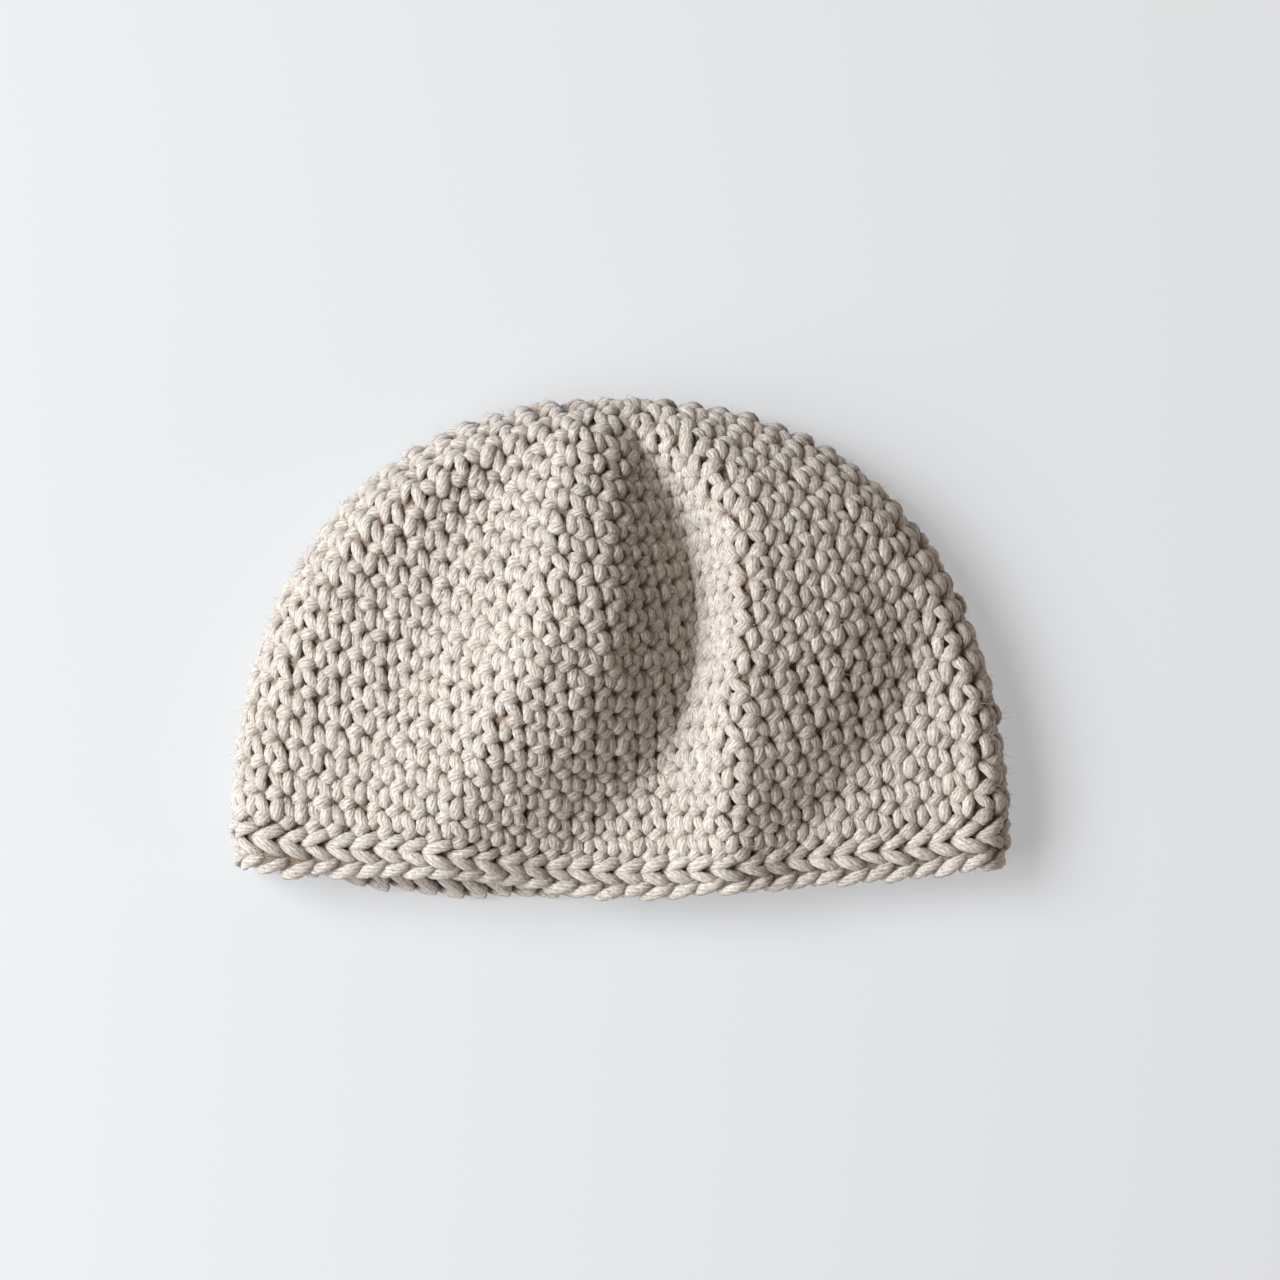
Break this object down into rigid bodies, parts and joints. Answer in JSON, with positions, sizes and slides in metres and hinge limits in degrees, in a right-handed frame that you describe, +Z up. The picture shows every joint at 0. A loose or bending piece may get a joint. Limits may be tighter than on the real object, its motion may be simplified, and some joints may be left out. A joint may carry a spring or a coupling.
{
  "type": "beanie",
  "caption": "Soft crocheted beanie lying flat on its side, worked in rounds from a closed crown to a slip-stitched rim, with an open hollow for a head.",
  "frame": {"origin": "middle of the hat's outline on its flat under side, on the surface it lies on", "axes": "+X to the right along the rim, +Y from the rim to the closed end of the crown, +Z up off the surface"},
  "size_m": [0.262, 0.1674, 0.0509],
  "materials": {
    "oatmeal_yarn": "matt bulky wool-blend yarn, softly fuzzy"
  },
  "bodies": {
    "root": {"crown": "oatmeal_yarn", "edge_band": "oatmeal_yarn"}
  },
  "joints": []
}
